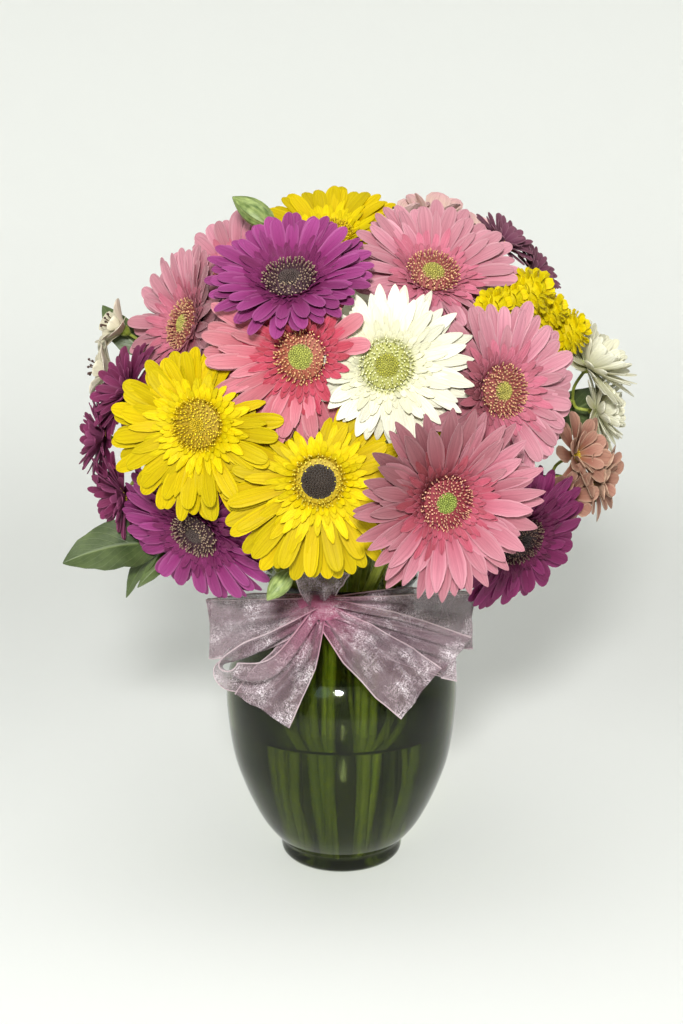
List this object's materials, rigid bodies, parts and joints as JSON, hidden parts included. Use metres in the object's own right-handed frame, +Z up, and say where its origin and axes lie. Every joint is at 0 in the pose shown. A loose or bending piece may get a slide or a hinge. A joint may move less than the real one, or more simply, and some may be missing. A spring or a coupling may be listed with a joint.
{
  "type": "gerberas in a vase",
  "caption": "Domed bouquet of gerberas with small filler flowers and leaves, standing in water in a dark green glass vase with a sheer ribbon bow tied round its neck.",
  "frame": {"origin": "on the ground under the middle of the vase foot", "axes": "+Z up the vase; -Y towards the viewer of the picture, where the bow is; +X to the viewer's right"},
  "size_m": [0.3436, 0.2984, 0.4361],
  "materials": {
    "vase": "dark olive green glass, clear, polished",
    "water": "clear water tinted by the glass and stems",
    "ribbon": "sheer pink organza with a fine woven edge",
    "stem": "green flower stem",
    "leaf": "dull green leaf",
    "button_mum": "yellow button chrysanthemum",
    "petals_pink": "pink ray petals",
    "petals_coral": "coral pink ray petals",
    "petals_magenta": "magenta ray petals",
    "petals_yellow": "yellow ray petals",
    "petals_white": "cream white ray petals",
    "disc_gold": "golden green disc florets",
    "disc_dark": "dark brown disc florets",
    "filler_purple": "dark purple daisy petals",
    "filler_cream": "cream petals",
    "filler_white": "white petals",
    "filler_peach": "peach petals",
    "filler_mauve": "mauve petals"
  },
  "bodies": {
    "root": {"alstroemeria_cream_left": "filler_cream", "alstroemeria_peach_right": "filler_peach", "alstroemeria_top": "filler_cream", "asters_mauve_right": "filler_mauve", "daisies_purple_left": "filler_purple", "daisies_white_back": "filler_white", "gerbera_coral_back_disc": "disc_gold", "gerbera_coral_back_rays": "petals_coral", "gerbera_coral_front_left_disc": "disc_gold", "gerbera_coral_front_left_rays": "petals_coral", "gerbera_magenta_back_left_disc": "disc_dark", "gerbera_magenta_back_left_rays": "petals_magenta", "gerbera_magenta_back_right_disc": "disc_dark", "gerbera_magenta_back_right_rays": "petals_magenta", "gerbera_magenta_low_left_disc": "disc_dark", "gerbera_magenta_low_left_rays": "petals_magenta", "gerbera_magenta_low_right_disc": "disc_dark", "gerbera_magenta_low_right_rays": "petals_magenta", "gerbera_magenta_top_disc": "disc_dark", "gerbera_magenta_top_rays": "petals_magenta", "gerbera_pink_back_right_disc": "disc_gold", "gerbera_pink_back_right_rays": "petals_pink", "gerbera_pink_behind_left_disc": "disc_gold", "gerbera_pink_behind_left_rays": "petals_pink", "gerbera_pink_front_right_disc": "disc_gold", "gerbera_pink_front_right_rays": "petals_pink", "gerbera_pink_left_disc": "disc_gold", "gerbera_pink_left_rays": "petals_pink", "gerbera_pink_right_disc": "disc_gold", "gerbera_pink_right_rays": "petals_pink", "gerbera_pink_top_right_disc": "disc_gold", "gerbera_pink_top_right_rays": "petals_pink", "gerbera_white_back_disc": "disc_gold", "gerbera_white_back_rays": "petals_white", "gerbera_white_middle_disc": "disc_gold", "gerbera_white_middle_rays": "petals_white", "gerbera_yellow_back_disc": "disc_dark", "gerbera_yellow_back_rays": "petals_yellow", "gerbera_yellow_brown_eye_disc": "disc_dark", "gerbera_yellow_brown_eye_rays": "petals_yellow", "gerbera_yellow_left_disc": "disc_gold", "gerbera_yellow_left_rays": "petals_yellow", "gerbera_yellow_top_disc": "disc_gold", "gerbera_yellow_top_rays": "petals_yellow", "greenery_back": "leaf", "greenery_front": "leaf", "greenery_left": "leaf", "greenery_right": "leaf", "mums_white_right": "filler_white", "pompons_yellow_right": "button_mum", "ribbon": "ribbon", "stems_back": "stem", "stems_front_left": "stem", "stems_front_right": "stem", "stems_left": "stem", "stems_right": "stem", "vase": "vase", "water": "water"}
  },
  "joints": []
}
